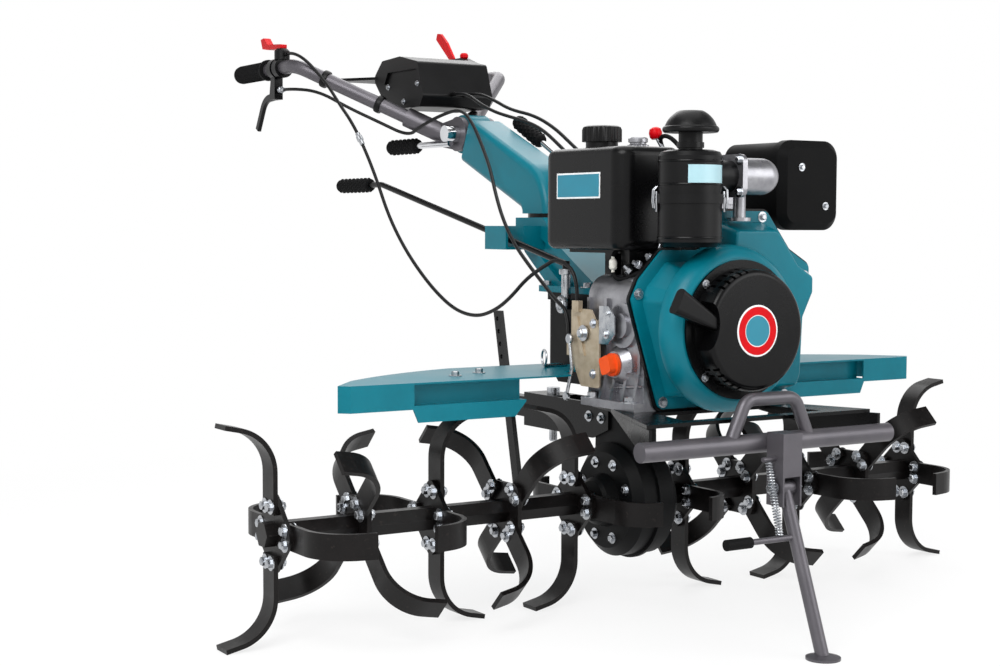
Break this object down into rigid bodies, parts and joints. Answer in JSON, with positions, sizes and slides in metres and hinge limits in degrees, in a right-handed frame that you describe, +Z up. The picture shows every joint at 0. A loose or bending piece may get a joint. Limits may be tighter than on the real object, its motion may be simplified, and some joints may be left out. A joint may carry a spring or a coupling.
{
  "type": "power tiller",
  "caption": "Walk-behind power tiller with air-cooled diesel engine, tine reels on a hexagon axle, prop stand, fenders and an adjustable handlebar",
  "frame": {"origin": "middle of the machine's footprint box, on the floor", "axes": "+X is the way it travels, +Y the operator's left, +Z up"},
  "size_m": [1.7244, 1.6016, 1.1557],
  "materials": {
    "teal": "gloss paint",
    "dark_iron": "matt paint over casting",
    "black_paint": "satin paint",
    "grey_paint": "metallic paint",
    "die_cast": "as cast",
    "black_plastic": "moulded",
    "rubber": "matt",
    "zinc": "bright zinc",
    "chrome": "polished",
    "orange_plastic": "moulded",
    "red_plastic": "moulded",
    "yellow_zinc": "yellow passivated zinc",
    "tine_paint": "matt paint"
  },
  "bodies": {
    "chassis": {"gearbox_lower_case": "dark_iron", "gearbox_upper_case": "dark_iron", "engine_bed": "black_paint", "bumper_bar": "grey_paint", "stand_bracket": "grey_paint", "crankcase": "die_cast", "oil_cap": "orange_plastic", "cylinder": "die_cast", "rocker_cover": "die_cast", "shroud_backplate": "black_paint", "cooling_shroud": "teal", "recoil_starter": "black_paint", "recoil_handle": "black_plastic", "fuel_tank": "black_paint", "tank_bracket": "black_paint", "fuel_cap": "black_plastic", "air_cleaner": "black_plastic", "air_cleaner_cap": "black_plastic", "intake_elbow": "die_cast", "muffler": "black_paint", "muffler_cap": "black_paint", "control_plate": "yellow_zinc", "fender_right": "teal", "fender_left": "teal", "hitch": "black_paint", "hitch_pin": "zinc", "depth_stake": "black_paint", "handle_base": "teal", "swivel_disc": "black_paint", "handle_arm": "teal", "shift_rod": "black_paint", "shift_grip": "rubber", "gear_lever": "chrome", "gear_grip": "rubber", "injection_pump": "zinc"},
    "reel": {"reel_right": "tine_paint", "reel_left": "tine_paint", "output_shaft": "zinc"},
    "stand": {"stand_leg": "grey_paint", "stand_peg": "rubber", "stand_spring": "zinc"},
    "handlebar": {"handlebar": "grey_paint", "grip_right": "rubber", "grip_left": "rubber", "console_box": "black_plastic", "clutch_lever": "black_paint", "thumb_lever": "black_plastic", "speed_lever": "red_plastic", "lever_housing": "black_plastic", "red_lever": "red_plastic", "clamp_lever": "chrome", "clamp_grip": "rubber", "speed_cable": "black_plastic", "clutch_cable": "black_plastic", "shift_cable_left": "black_plastic", "shift_cable_right": "black_plastic"}
  },
  "joints": [
    {"name": "reel_spin", "type": "hinge", "parent": "chassis", "child": "reel", "pos_m": [0.30285, 0, 0.184], "axis": [0, 1, 0], "continuous": true},
    {"name": "stand_fold", "type": "hinge", "parent": "chassis", "child": "stand", "pos_m": [0.73615, 0, 0.262], "axis": [0, 1, 0], "range_deg": [0, 100], "deforming": ["stand_spring"]},
    {"name": "handlebar_tilt", "type": "hinge", "parent": "chassis", "child": "handlebar", "pos_m": [-0.25215, 0, 0.876], "axis": [0, 1, 0], "range_deg": [-18, 20], "deforming": ["speed_cable", "clutch_cable", "shift_cable_left", "shift_cable_right"]}
  ]
}
